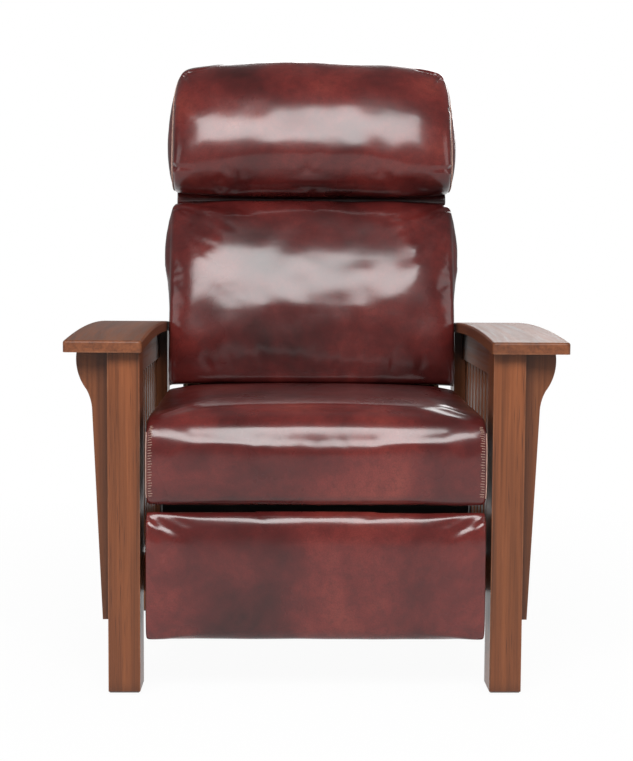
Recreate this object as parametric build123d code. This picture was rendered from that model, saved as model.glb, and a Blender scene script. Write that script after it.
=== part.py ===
from build123d import *
from math import atan2, cos, degrees, hypot, radians, sin, sqrt, tan
import os

# Mission reclining armchair, millimetres. While it is built, X runs to the right of a viewer in front
# of the chair, Y runs back from the front face of the front posts and Z runs up from the floor. At the
# end everything moves along Y, so that the origin is on the floor, under the middle of the whole chair.
# The mechanism is drawn as (y, z) points in side view and its plates stand in layers along X.

# Side frames
frame_half_width = 348.9
frame_depth = 665.0
post_width = 53.7
post_depth = 65.2
post_chamfer = 3.0
rail_thickness = 22.0
bottom_rail_foot = 140.0
bottom_rail_height = 65.0
top_rail_height = 48.0
rail_tenon = 18.0
tenon_shoulder = 6.0
slat_count = 11
slat_width = 27.0
slat_thickness = 12.0
slat_tenon = 9.0
glide_radius = 13.0
glide_height = 2.5
glide_shank_width = 6.0
glide_shank = 22.0
trim_overrun = 60.0

# Bow arms
arm_inset = 5.7
arm_width = 130.0
arm_thickness = 19.6
arm_front_overhang = 21.0
arm_rear_overhang = 34.0
arm_end_top = 599.4
arm_bow = 13.5
arm_corner = 6.0
arm_top_round = 4.5

# Corbels under the arms: how far each point stands out from the post, and how high it is
corbel_thickness = 22.0
corbel_top_reach = 53.0
corbel_throat_reach = 37.0
corbel_throat_height = 515.0
corbel_neck_reach = 27.6
corbel_neck_height = 478.0
corbel_foot_reach = 11.6
corbel_foot_height = 124.0
corbel_swell = 7.0
corbel_hollow = 2.4

# Cross rails and steel base rails
cross_rail_thickness = 22.0
cross_rail_height = 65.0
swing_base_rise = 15.0
front_cross_rail_y = 150.0
rear_cross_rail_inset = 31.0
angle_web = 3.0
angle_height = 40.0
angle_flange = 22.0
base_bolt_radius = 4.0
base_bolt_head = 7.5
base_bolt_head_height = 5.0
base_bolt_length = 52.0

# Layers of the mechanism inside the posts: the first is the seat plate, the others stand outside it
mechanism_room = 33.2
plate = 3.0
layer_gap = 0.6
plate_layer = 0
swing_layer = 1
base_layer = 2
main_layer = 1
crank_layer = 2
outer_layer = 3
bracket_layer = 4
running_fit = 0.05
open_fit = 0.25

# Swing links that carry the seat
swing_length = 120.0
swing_lean = 35.0
swing_width = 26.0
swing_top_rise = 19.2982
front_swing_y = 196.0
rear_swing_inset = 111.0
swing_shaft_radius = 8.0
swing_shaft_end = 2.0
swing_stud_radius = 5.0

# Seat
seat_plate_drop = 16.0
seat_plate_height = 48.0
seat_plate_front = 40.0
seat_plate_neck = 60.0
seat_plate_leg_width = 28.0
seat_rail_foot = 320.0
seat_rail_height = 71.0
seat_rail_thickness = 22.0
seat_frame_front = 38.0
seat_frame_inset = 143.0
webbing_thickness = 2.0
webbing_inset = 7.0
seat_strap_width = 50.0
seat_strap_count = 6
screw_radius = 3.0
screw_length = 19.0
screw_heights_share = 0.75
screw_places_share = (0.18, 0.74)
soft_gap = 0.3

# Seat cushion with its front lip
cushion_clearance = 2.5
seat_front = -12.0
seat_tail_overhang = 13.0
seat_lip_foot = 319.0
seat_front_top = 480.0
seat_rear_top = 471.5
seat_nose_radius = 46.0
seat_edge_radius = 12.0
seat_tail_radius = 16.0
seat_crown = 8.0
seat_front_swell = 4.0
seat_side_round = 34.0
seat_side_drop = 20.0
seat_side_draw = 9.0

# Leg rest linkage
leg_pivot_y = 52.0
leg_pivot_z = 257.0
leg_arm = 74.0
leg_tail = 58.0
leg_reach = 112.0
leg_closed_spread = 8.0
leg_open_spread = 85.0
leg_slot_tilt = 10.0
leg_crank_angle = 38.0
link_width = 16.0
stud_radius = 4.0
slot_fit = 0.1

# Leg rest panel
panel_front = -9.0
panel_foot = 96.0
panel_top = 317.0
panel_rear_top = 289.0
board_front = 12.0
board_thickness = 16.0
board_rim = 8.0
board_top_drop = 36.0
bracket_tab = 26.0
bracket_foot = 214.0
bracket_head = 282.0
panel_nose_radius = 12.0
panel_toe_radius = 10.0
panel_swell = 3.0
panel_side_round = 16.0
panel_side_draw = 6.0

# Back, drawn upright and then leant about its foot
back_pivot_gap = 23.0
back_pivot_rise = 31.0
back_pivot_radius = 6.0
back_foot_gap = 30.0
back_foot_z = 474.0
back_lean = 14.0
back_drop = 128.0
stile_width = 32.0
stile_depth = 38.0
back_rail_thickness = 24.0
back_top_rail_height = 45.0
back_middle_rail_height = 46.0
back_bottom_rail_height = 66.0
back_strap_width = 50.0
back_strap_count = 5
bracket_width = 30.0
bracket_low = -100.0
bracket_high = 12.0
shell_clearance = 9.5
shell_wall = 12.0
shell_drop = 9.0
shell_shoulder = 12.0
shell_skirt_inset = 24.0
shell_corner = 42.0
shell_edge = 8.0

# Lumbar cushion and head pillow, in the upright back
lumbar_side_round = 46.0
lumbar_side_drop = 9.0
lumbar_side_depth = 30.0
lumbar_foot = -26.0
lumbar_top = 387.5
lumbar_head_depth = 82.0
lumbar_foot_depth = 78.0
lumbar_swell = 27.0
lumbar_head_radius = 34.0
lumbar_clearance = 0.6
pillow_overhang = 11.0
pillow_side_round = 62.0
pillow_side_drop = 92.0
pillow_side_rise = 58.0
pillow_side_depth = 66.0
pillow_gap = 12.5
pillow_height = 282.0
pillow_head_depth = 62.0
pillow_foot_depth = 118.0
pillow_swell = 12.0
pillow_head_radius = 36.0
pillow_foot_radius = 42.0

# Soft parts are lofted across their width: shares of the flat middle, then of the rounded side
flat_shares = (0.0, 0.5)
side_shares = (0.0, 0.5, 0.85, 1.0)

# Worked out from the sizes above
post_inner = frame_half_width - post_width
arm_inner = post_inner - arm_inset
layer_start = post_inner - mechanism_room
cushion_half_width = arm_inner - cushion_clearance
shell_half_width = arm_inner - shell_clearance
pillow_half_width = arm_inner + pillow_overhang
post_middle = frame_half_width - post_width / 2
rear_post_front = frame_depth - post_depth
rail_inner = post_middle - rail_thickness / 2
arm_front = -arm_front_overhang
arm_rear = frame_depth + arm_rear_overhang
arm_end_foot = arm_end_top - arm_thickness
top_rail_foot = arm_end_foot - top_rail_height
bottom_rail_top = bottom_rail_foot + bottom_rail_height
rear_cross_rail_y = frame_depth - rear_cross_rail_inset - cross_rail_thickness
leg_turn = leg_open_spread - leg_closed_spread
seat_frame_rear = frame_depth - seat_frame_inset
seat_frame_depth = seat_frame_rear - seat_frame_front
seat_rear = seat_frame_rear + seat_tail_overhang
rear_swing_y = seat_frame_rear - rear_swing_inset
back_pivot_y = seat_frame_rear + back_pivot_gap
back_foot_y = back_pivot_y + back_foot_gap
seat_rail_top = seat_rail_foot + seat_rail_height
seat_plate_foot = seat_rail_foot - seat_plate_drop
seat_plate_top = seat_plate_foot + seat_plate_height
back_pivot_z = seat_plate_foot + back_pivot_rise
swing_base_height = seat_plate_foot + swing_top_rise - swing_length * cos(radians(swing_lean))
cross_rail_top = swing_base_height - swing_base_rise
cross_rail_foot = cross_rail_top - cross_rail_height
webbing_top = seat_rail_top + webbing_thickness
board_rear = board_front + board_thickness
stile_outer = layer_start - layer_gap - plate
stile_inner = stile_outer - stile_width
pillow_foot = lumbar_top + pillow_gap
pillow_top = pillow_foot + pillow_height
shell_top = pillow_top - shell_drop


def layer(index):
    """Inner face of a layer of the mechanism."""
    return layer_start + index * (plate + layer_gap)


def block(x_pair, y_pair, z_pair):
    """Box between two values along each axis."""
    middle = [(a + b) / 2 for a, b in (x_pair, y_pair, z_pair)]
    size = [abs(b - a) for a, b in (x_pair, y_pair, z_pair)]
    return Pos(*middle) * Box(*size)


def side_face(edges):
    """Face from edges drawn as (y, z)."""
    return Plane.YZ * make_face(edges)


def side_sheet(face, x_from, x_to):
    """Solid from a side-view face between two values of X."""
    return Pos(x_from, 0, 0) * extrude(face, x_to - x_from, dir=(1, 0, 0))


def pin(centre, radius, x_from, x_to):
    """Cylinder along X."""
    middle = Pos((x_from + x_to) / 2, centre[0], centre[1])
    return middle * Rot(0, 90, 0) * Cylinder(radius, abs(x_to - x_from))


def bar(start, end, width, x_from, x_to):
    """Flat bar with round ends between two side-view points."""
    run, rise = end[0] - start[0], end[1] - start[1]
    middle = Pos((start[0] + end[0]) / 2, (start[1] + end[1]) / 2)
    outline = middle * Rot(0, 0, degrees(atan2(rise, run))) * SlotCenterToCenter(hypot(run, rise), width)
    return side_sheet(Plane.YZ * outline, x_from, x_to)


def forward(start, length, angle):
    """Point at a length and an angle from another; zero degrees points forward, 90 up."""
    return (start[0] - length * cos(radians(angle)), start[1] + length * sin(radians(angle)))


def other_side(shape):
    return mirror(shape, about=Plane.YZ)


def pair(shape):
    """A piece and its twin on the other side, as one group."""
    return Compound([*shape.solids(), *other_side(shape).solids()])


def soft_outline(corners):
    """Closed outline from (y, z, radius, swell) corners, listed up the front and down the back.

    Each corner is rounded by its radius, or left sharp without one, and the run to the next corner
    bows by its swell towards the middle of the section.
    """
    count = len(corners)
    arcs = []
    for i, (y, z, radius, swell) in enumerate(corners):
        here = Vector(y, z)
        back = (Vector(*corners[i - 1][:2]) - here).normalized()
        ahead = (Vector(*corners[(i + 1) % count][:2]) - here).normalized()
        half = radians(back.get_angle(ahead)) / 2
        start, end = here + back * (radius / tan(half)), here + ahead * (radius / tan(half))
        inwards = (back + ahead).normalized()
        middle = here + inwards * (radius / sin(half) - radius)
        arcs.append((start, middle, end, swell))
    edges = []
    for i, (start, middle, end, swell) in enumerate(arcs):
        if corners[i][2]:
            edges.append(ThreePointArc(start, middle, end))
        following = arcs[(i + 1) % count][0]
        run = following - end
        sideways = Vector(run.Y, -run.X).normalized()
        if swell:
            edges.append(ThreePointArc(end, (end + following) / 2 + sideways * swell, following))
        else:
            edges.append(Line(end, following))
    return side_face(edges)


def across(half_width, side_round):
    """Places across a soft part, as (x, crown, fall): crown is 1 in the middle and 0 at the sides, and
    fall grows from 0 to 1 round the side as a quarter circle does."""
    flat = half_width - side_round
    places = [(share * flat, 0) for share in flat_shares]
    places += [(flat + share * side_round, 1 - sqrt(1 - share ** 2)) for share in side_shares]
    stations = [(x, 1 - (x / half_width) ** 2, fall) for x, fall in places]
    return [(-x, crown, fall) for x, crown, fall in reversed(stations[1:])] + stations


def soft_loft(stations, corners_for):
    """Lofts a soft part from left to right; corners_for gives the outline's corners at a station."""
    outlines = [Pos(station[0], 0, 0) * soft_outline(corners_for(*station)) for station in stations]
    return loft(outlines, ruled=True)


def arm_curve(height):
    """Arc of the bow arm through points at this height at both ends."""
    middle = (arm_front + arm_rear) / 2
    return ThreePointArc((arm_front, height), (middle, height + arm_bow), (arm_rear, height))


def under_arm(shape):
    """Trims a piece to the underside of the arm that rests on it."""
    foot, head = arm_end_foot, arm_end_top + trim_overrun
    edges = [arm_curve(foot), Line((arm_rear, foot), (arm_rear, head)),
             Line((arm_rear, head), (arm_front, head)), Line((arm_front, head), (arm_front, foot))]
    reach = frame_half_width + arm_width
    return shape - side_sheet(side_face(edges), -reach, reach)


def bow_arm():
    foot, head = arm_end_foot, arm_end_top
    edges = [arm_curve(foot), Line((arm_rear, foot), (arm_rear, head)),
             arm_curve(head), Line((arm_front, head), (arm_front, foot))]
    arm = side_sheet(side_face(edges), arm_inner, arm_inner + arm_width)
    arm = fillet(arm.edges().filter_by(Axis.Z), arm_corner)
    return fillet(arm.faces().sort_by(Axis.Z)[-1].edges(), arm_top_round)


def rail(foot, height):
    """Side rail between the posts, with a tenon at each end."""
    body = block((rail_inner, rail_inner + rail_thickness), (post_depth, rear_post_front),
                 (foot, foot + height))
    tenon = block((rail_inner + tenon_shoulder, rail_inner + rail_thickness - tenon_shoulder),
                  (post_depth - rail_tenon, rear_post_front + rail_tenon),
                  (foot + tenon_shoulder, foot + height - tenon_shoulder))
    return body + tenon


def slats():
    """Upright slats with equal gaps, tenoned into both rails."""
    gap = (rear_post_front - post_depth - slat_count * slat_width) / (slat_count + 1)
    pieces = []
    for i in range(slat_count):
        y = post_depth + gap + i * (slat_width + gap)
        across_slat = (post_middle - slat_thickness / 2, post_middle + slat_thickness / 2)
        levels = (bottom_rail_top - slat_tenon, top_rail_foot + slat_tenon)
        pieces.append(block(across_slat, (y, y + slat_width), levels))
    return pieces


def post(y_from, rails):
    blank = block((post_inner, frame_half_width), (y_from, y_from + post_depth),
                  (glide_height, arm_end_top + arm_bow))
    blank = chamfer(blank.faces().sort_by(Axis.Z)[0].edges(), post_chamfer)
    hole = (post_middle, y_from + post_depth / 2)
    blank -= glide_nail(*hole)
    for one in rails:
        blank -= one
    return under_arm(blank)


def glide_nail(x, y):
    """Square nail that holds a glide in the foot of its post."""
    return Pos(x, y, glide_height + glide_shank / 2) * Box(glide_shank_width, glide_shank_width, glide_shank)


def glide(y_from):
    x, y = post_middle, y_from + post_depth / 2
    return Pos(x, y, glide_height / 2) * Cylinder(glide_radius, glide_height) + glide_nail(x, y)


def corbel(y_from):
    """Long bracket on the outer face of a post: a swelling head, a hollow throat and a straight taper."""
    face, top = frame_half_width, arm_end_top + arm_bow
    head = (face + corbel_top_reach, arm_end_foot)
    throat = (face + corbel_throat_reach, corbel_throat_height)
    neck = (face + corbel_neck_reach, corbel_neck_height)
    foot = (face + corbel_foot_reach, corbel_foot_height)
    upper = ((head[0] + throat[0]) / 2 + corbel_swell, (head[1] + throat[1]) / 2)
    lower = ((throat[0] + neck[0]) / 2 - corbel_hollow, (throat[1] + neck[1]) / 2)
    edges = [Line((face, top), (head[0], top)), Line((head[0], top), head),
             ThreePointArc(head, upper, throat), ThreePointArc(throat, lower, neck), Line(neck, foot),
             Line(foot, (face, foot[1])), Line((face, foot[1]), (face, top))]
    y_mid = y_from + post_depth / 2
    solid = extrude(Plane.XZ * make_face(edges), corbel_thickness / 2, both=True)
    return under_arm(Pos(0, y_mid, 0) * solid)


def side_frame():
    """All wooden pieces of the right side frame, by name."""
    bottom = rail(bottom_rail_foot, bottom_rail_height)
    top = under_arm(rail(top_rail_foot, top_rail_height + arm_bow))
    uprights = slats()
    posts = {"front_post": post(0, (bottom, top)), "rear_post": post(rear_post_front, (bottom, top))}
    for one in uprights:
        bottom -= one
        top -= one
    return {**posts, "arm": bow_arm(), "bottom_rail": bottom, "top_rail": top,
            "slats": Compound(uprights), "front_corbel": corbel(0), "rear_corbel": corbel(rear_post_front)}


def base_bolt(y):
    x = layer(base_layer) + angle_flange / 2
    top = cross_rail_top + angle_web
    head = extrude(RegularPolygon(base_bolt_head, 6), base_bolt_head_height)
    shank = Pos(x, y, top - base_bolt_length / 2) * Cylinder(base_bolt_radius, base_bolt_length)
    return Pos(x, y, top) * head + shank


def base():
    """Cross rails, bolts and the steel base rails with the welded studs of the rear swing links."""
    bolts = pair(base_bolt(front_cross_rail_y + cross_rail_thickness / 2)
                 + base_bolt(rear_cross_rail_y + cross_rail_thickness / 2))
    heights = (cross_rail_foot, cross_rail_top)
    run = (front_cross_rail_y, rear_cross_rail_y + cross_rail_thickness)
    front = block((-rail_inner, rail_inner), (run[0], run[0] + cross_rail_thickness), heights)
    rear = block((-post_inner, post_inner), (rear_cross_rail_y, run[1]), heights)
    inside = layer(base_layer)
    web = block((inside, inside + plate), run, (cross_rail_top, cross_rail_top + angle_height))
    flange = block((inside, inside + angle_flange), run, (cross_rail_top, cross_rail_top + angle_web))
    angle = web + flange
    outside = layer(base_layer) + plate
    angle -= pin((front_swing_y, swing_base_height), swing_shaft_radius + running_fit,
                 layer(swing_layer), outside + layer_gap)
    stud = pin((rear_swing_y, swing_base_height), swing_stud_radius, layer(swing_layer), inside)
    angle += stud
    angle -= bolts
    return {"front_cross_rail": front - bolts, "rear_cross_rail": rear - bolts,
            "base_rail_right": angle, "base_rail_left": other_side(angle), "base_bolts": bolts}


def swing_top(base_y):
    """Upper pivot of a swing link with the seat at rest: the link leans back."""
    return forward((base_y, swing_base_height), swing_length, 90 + swing_lean)


def swing_link(base_y, base_radius):
    foot, top = (base_y, swing_base_height), swing_top(base_y)
    inner, outer = layer(swing_layer), layer(swing_layer) + plate
    link = bar(foot, top, swing_width, inner, outer)
    link -= pin(foot, base_radius, inner - layer_gap, outer + layer_gap)
    return link - pin(top, swing_stud_radius + running_fit, inner - layer_gap, outer + layer_gap)


def swing_links():
    front = swing_link(front_swing_y, swing_shaft_radius)
    rear = swing_link(rear_swing_y, swing_stud_radius + running_fit)
    end = layer(base_layer) + plate + swing_shaft_end
    shaft = pin((front_swing_y, swing_base_height), swing_shaft_radius, -end, end)
    return {"front_swing_link_right": front, "front_swing_link_left": other_side(front), "swing_shaft": shaft,
            "rear_swing_link_right": rear, "rear_swing_link_left": other_side(rear)}


# Side-view points of the leg rest linkage with the panel closed. The main link and the crank make equal
# arms about their common pivot, so the crank's lower pin runs along a straight slot that aims at the
# main link's fixed pivot, and the two turn equally in opposite ways.
leg_pivot = (leg_pivot_y, leg_pivot_z)
slot_angle = -90 - leg_slot_tilt
main_angle = slot_angle + leg_closed_spread
crank_angle = slot_angle + 180 - leg_closed_spread + leg_crank_angle
middle_pivot = forward(leg_pivot, leg_arm, main_angle)
tail_pivot = forward(middle_pivot, leg_tail, main_angle)
slot_low = forward(leg_pivot, 2 * leg_arm * cos(radians(leg_closed_spread)), slot_angle)
slot_high = forward(leg_pivot, 2 * leg_arm * cos(radians(leg_open_spread)), slot_angle)
upper_pivot = forward(middle_pivot, leg_reach, crank_angle)
lower_pivot = forward(tail_pivot, leg_reach, crank_angle)


def seat_plate():
    """Steel side plate: a bar along the seat frame, a slotted leg for the leg rest and welded studs."""
    inner, outer = layer(plate_layer), layer(plate_layer) + plate
    shape = block((inner, outer), (seat_plate_front, back_pivot_y), (seat_plate_foot, seat_plate_top))
    shape += block((inner, outer), (seat_plate_front, seat_plate_front + seat_plate_neck),
                   (leg_pivot_z, seat_plate_top))
    shape += bar(forward(leg_pivot, seat_plate_leg_width, slot_angle + 180), slot_low, seat_plate_leg_width,
                 inner, outer)
    shape += pin((back_pivot_y, back_pivot_z), (seat_plate_top - seat_plate_foot) / 2, inner, outer)
    slot_width = 2 * (stud_radius + slot_fit)
    shape -= bar(slot_low, slot_high, slot_width, inner - layer_gap, outer + layer_gap)
    far = layer(swing_layer) + plate
    shape += pin(leg_pivot, stud_radius, outer, far)
    shape += pin(swing_top(front_swing_y), swing_stud_radius, outer, far)
    shape += pin(swing_top(rear_swing_y), swing_stud_radius, outer, far)
    return shape + pin((back_pivot_y, back_pivot_z), back_pivot_radius, stile_outer, inner)


def plate_screws():
    """Flush screws that hold the right seat plate to the seat frame."""
    height = seat_rail_foot + (seat_plate_top - seat_rail_foot) * screw_heights_share
    screws = []
    for share in screw_places_share:
        centre = (seat_frame_front + share * seat_frame_depth, height)
        screws.append(pin(centre, screw_radius, layer_start - screw_length, layer_start + plate))
    return screws


def straps(count, width, across, start, end, thickness_pair):
    """Webbing straps side by side between two values, as (across, along, thickness) boxes."""
    gap = (end - start - count * width) / (count + 1)
    boxes = []
    for i in range(count):
        low = start + gap + i * (width + gap)
        boxes.append(((-across, across), (low, low + width), thickness_pair))
    return boxes


def seat_corners(x, crown, fall):
    under, inside = webbing_top + soft_gap, seat_frame_front - soft_gap
    drop, draw = seat_side_drop * fall, seat_side_draw * fall
    return [(seat_front + draw, seat_lip_foot + draw / 2, seat_edge_radius, seat_front_swell * crown),
            (seat_front + draw, seat_front_top - drop, seat_nose_radius, seat_crown * crown),
            (seat_rear - draw, seat_rear_top - drop, seat_tail_radius, 0),
            (seat_rear - draw, under, 0, 0), (inside, under, 0, 0), (inside, seat_lip_foot + draw / 2, 0, 0)]


def seat_cushion():
    """Crowned seat with a rounded nose and a lip that wraps down over the front rail."""
    return soft_loft(across(cushion_half_width, seat_side_round), seat_corners)


def seat():
    plate_right, screws = seat_plate(), plate_screws()
    for one in screws:
        plate_right -= one
    levels = (seat_rail_foot, seat_rail_top)
    inner = layer_start - seat_rail_thickness
    inside = (seat_frame_front + seat_rail_thickness, seat_frame_rear - seat_rail_thickness)
    front = block((-layer_start, layer_start), (seat_frame_front, inside[0]), levels)
    rear = block((-layer_start, layer_start), (inside[1], seat_frame_rear), levels)
    side = block((inner, layer_start), inside, levels)
    for one in screws:
        side -= one
    boxes = straps(seat_strap_count, seat_strap_width, layer_start - webbing_inset, *inside,
                   (seat_rail_top, webbing_top))
    return {"seat_plate_right": plate_right, "seat_plate_left": other_side(plate_right),
            "plate_screws": pair(Compound(screws)), "seat_front_rail": front, "seat_rear_rail": rear,
            "seat_side_rail_right": side, "seat_side_rail_left": other_side(side),
            "seat_webbing": Compound([block(*box).solid() for box in boxes]), "seat_cushion": seat_cushion()}


def leg_links():
    """Main link, bell crank and outer link of the leg rest, with the studs that they carry."""
    def span(index):
        return layer(index), layer(index) + plate

    def hole(centre, fit, index):
        return pin(centre, stud_radius + fit, layer(index) - layer_gap, layer(index) + plate + layer_gap)

    main = bar(leg_pivot, tail_pivot, link_width, *span(main_layer)) - hole(leg_pivot, running_fit, main_layer)
    main += pin(middle_pivot, stud_radius, layer(main_layer) + plate, layer(crank_layer) + plate)
    main += pin(tail_pivot, stud_radius, layer(main_layer) + plate, layer(outer_layer) + plate)
    crank = bar(slot_low, middle_pivot, link_width, *span(crank_layer))
    crank += bar(middle_pivot, upper_pivot, link_width, *span(crank_layer))
    crank -= hole(middle_pivot, running_fit, crank_layer)
    crank += pin(slot_low, stud_radius, layer(plate_layer), layer(crank_layer))
    crank += pin(upper_pivot, stud_radius, layer(crank_layer) + plate, layer(bracket_layer) + plate)
    outer = bar(tail_pivot, lower_pivot, link_width, *span(outer_layer))
    outer -= hole(tail_pivot, running_fit, outer_layer)
    outer -= hole(lower_pivot, open_fit, outer_layer)
    return main, crank, outer


def leg_bracket():
    """Steel bracket behind the leg rest panel: a web in the outermost layer and a screwed tab."""
    inner, outer = layer(bracket_layer), layer(bracket_layer) + plate
    half = link_width / 2
    web = bar(upper_pivot, lower_pivot, link_width, inner, outer)
    edges = Polyline([(upper_pivot[0], upper_pivot[1] - half), (board_rear, bracket_head),
                      (board_rear, bracket_foot), (lower_pivot[0], lower_pivot[1] - half)], close=True)
    web += side_sheet(side_face(edges), inner, outer)
    tab = block((outer - bracket_tab, outer), (board_rear, board_rear + plate), (bracket_foot, bracket_head))
    bracket = web + tab
    bracket -= pin(upper_pivot, stud_radius + running_fit, inner - layer_gap, outer + layer_gap)
    return bracket + pin(lower_pivot, stud_radius, layer(outer_layer), inner)


def panel_corners(x, crown, fall):
    draw = panel_side_draw * fall
    return [(panel_front + draw, panel_foot + draw, panel_toe_radius, panel_swell * crown),
            (panel_front + draw, panel_top - draw, panel_nose_radius, 0),
            (board_rear, panel_rear_top - draw, 0, 0), (board_rear, panel_foot + draw, 0, 0)]


def leg_pad(board):
    """Padded leather panel: a swelling face, a rolled top edge and a rim wrapped round the board."""
    return soft_loft(across(cushion_half_width, panel_side_round), panel_corners) - board


def leg_rest():
    main, crank, outer = leg_links()
    bracket = leg_bracket()
    half = cushion_half_width - board_rim
    board = block((-half, half), (board_front, board_rear),
                  (panel_foot + board_rim, panel_top - board_top_drop))
    return {"leg_main_link_right": main, "leg_main_link_left": other_side(main),
            "leg_crank_right": crank, "leg_crank_left": other_side(crank),
            "leg_outer_link_right": outer, "leg_outer_link_left": other_side(outer),
            "leg_bracket_right": bracket, "leg_bracket_left": other_side(bracket),
            "leg_rest_board": board, "leg_rest_pad": leg_pad(board)}


def lean(shape):
    """Moves a piece from the upright back to its place in the chair, leaning back."""
    return Pos(0, back_foot_y, back_foot_z) * Rot(-back_lean, 0, 0) * shape


def leant(y, z):
    """Side-view point of the chair for a point of the upright back."""
    turn = radians(back_lean)
    return (back_foot_y + y * cos(turn) + z * sin(turn), back_foot_z - y * sin(turn) + z * cos(turn))


def back_frame():
    """Stiles, cross rails, webbing and the steel brackets that hinge the back on the seat plates."""
    foot, head = -back_drop, shell_top - shell_wall - soft_gap
    stile = block((stile_inner, stile_outer), (0, stile_depth), (foot, head))
    middle = (lumbar_top + pillow_foot) / 2
    levels = {"bottom": (foot, foot + back_bottom_rail_height),
              "middle": (middle - back_middle_rail_height / 2, middle + back_middle_rail_height / 2),
              "top": (head - back_top_rail_height, head)}
    rails = {}
    for place, level in levels.items():
        rail_block = block((-stile_inner, stile_inner), (0, back_rail_thickness), level)
        rails[f"back_{place}_rail"] = lean(rail_block)
    reach = stile_outer - webbing_inset
    boxes = straps(back_strap_count, back_strap_width, reach, levels["bottom"][1], levels["middle"][0],
                   (-webbing_thickness, 0))
    boxes += straps(back_strap_count // 2, back_strap_width, reach, levels["middle"][1], levels["top"][0],
                    (-webbing_thickness, 0))
    webbing = Compound([block(x, y, z).solid() for x, z, y in boxes])
    hinge = (back_pivot_y, back_pivot_z)
    low, high = leant(stile_depth / 2, bracket_low), leant(stile_depth / 2, bracket_high)
    bracket = bar(hinge, low, bracket_width, stile_outer, stile_outer + plate)
    bracket += bar(low, high, bracket_width, stile_outer, stile_outer + plate)
    bracket -= pin(hinge, back_pivot_radius + running_fit, stile_inner, layer_start)
    return {"back_stile_right": lean(stile), "back_stile_left": lean(other_side(stile)), **rails,
            "back_webbing": lean(webbing),
            "back_bracket_right": bracket, "back_bracket_left": other_side(bracket)}


def back_shell():
    """Upholstered outside back: a rear wall with a skirt, two side walls and a rounded top."""
    low, skirt = -back_drop, shell_half_width - shell_skirt_inset
    depth = stile_depth + soft_gap + shell_wall
    wide = block((-shell_half_width, shell_half_width), (0, depth), (shell_shoulder, shell_top))
    corners = wide.edges().filter_by(Axis.Y).sort_by(Axis.Z)[-2:]
    wide = fillet(corners, shell_corner)
    outer = wide + block((-skirt, skirt), (0, depth), (low, shell_shoulder))
    cavity = stile_outer + plate + soft_gap
    shell = outer - block((-cavity, cavity), (-depth, stile_depth + soft_gap),
                          (low - depth, shell_top - shell_wall))
    return fillet(shell.faces().sort_by(Axis.Y)[-1].edges(), shell_edge)


def back_corners(foot, top, foot_depth, head_depth, foot_radius, head_radius, swell):
    """Outline of a cushion that lies on the webbing of the back."""
    back = -webbing_thickness - soft_gap
    return [(back - foot_depth, foot, foot_radius, swell), (back - head_depth, top, head_radius, 0),
            (back, top, 0, 0), (back, foot, 0, 0)]


def lumbar_corners(x, crown, fall):
    thin = lumbar_side_depth * fall
    radius = lumbar_head_radius - thin / 2
    return back_corners(lumbar_foot, lumbar_top - lumbar_side_drop * fall, lumbar_foot_depth - thin,
                        lumbar_head_depth - thin, radius, radius, lumbar_swell * crown)


def pillow_corners(x, crown, fall):
    thin = pillow_side_depth * fall
    foot, top = pillow_foot + pillow_side_rise * fall, pillow_top - pillow_side_drop * fall
    return back_corners(foot, top, pillow_foot_depth - thin, pillow_head_depth - thin / 2,
                        pillow_foot_radius - thin / 2, pillow_head_radius - thin / 3, pillow_swell * crown)


def back_cushions():
    """Lumbar cushion, cut level over the seat, and the head pillow above it."""
    lumbar = lean(soft_loft(across(cushion_half_width, lumbar_side_round), lumbar_corners))
    floor = back_foot_z + lumbar_clearance
    lumbar -= block((-cushion_half_width - trim_overrun, cushion_half_width + trim_overrun),
                    (seat_front, frame_depth), (seat_lip_foot, floor))
    pillow = lean(soft_loft(across(pillow_half_width, pillow_side_round), pillow_corners))
    return {"lumbar_cushion": lumbar, "head_pillow": pillow}


def chair():
    """Every node of the chair, by name, in the building frame."""
    nodes = {}
    for name, piece in side_frame().items():
        nodes[name + "_right"] = piece
        nodes[name + "_left"] = other_side(piece)
    nodes["glides"] = Compound([solid for y in (0, rear_post_front) for solid in pair(glide(y)).solids()])
    for group in (base(), swing_links(), seat(), leg_rest(), back_frame(), back_cushions()):
        nodes.update(group)
    nodes["back_shell"] = lean(back_shell())
    return nodes


def centre_shift(nodes):
    """How far the chair moves along Y to stand with its middle over the origin."""
    boxes = [piece.bounding_box() for piece in nodes.values()]
    return -(min(box.min.Y for box in boxes) + max(box.max.Y for box in boxes)) / 2


nodes = chair()
shift = centre_shift(nodes)
os.makedirs("parts", exist_ok=True)
for name, piece in nodes.items():
    export_step(Pos(0, shift, 0) * piece, f"parts/{name}.step")
print("shift along Y", round(shift, 3))
points = {"front swing foot": (front_swing_y, swing_base_height), "front swing top": swing_top(front_swing_y),
          "rear swing foot": (rear_swing_y, swing_base_height), "rear swing top": swing_top(rear_swing_y),
          "leg pivot": leg_pivot, "middle pivot": middle_pivot, "tail pivot": tail_pivot,
          "slot low": slot_low, "slot high": slot_high, "upper pivot": upper_pivot,
          "lower pivot": lower_pivot, "back pivot": (back_pivot_y, back_pivot_z)}
for label, point in points.items():
    print(label, round(point[0] + shift, 4), round(point[1], 4))
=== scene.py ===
import bpy
from math import cos, pi, radians, sin
from mathutils import Matrix, Vector, noise
from mathutils.bvhtree import BVHTree
from mathutils.kdtree import KDTree


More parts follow.
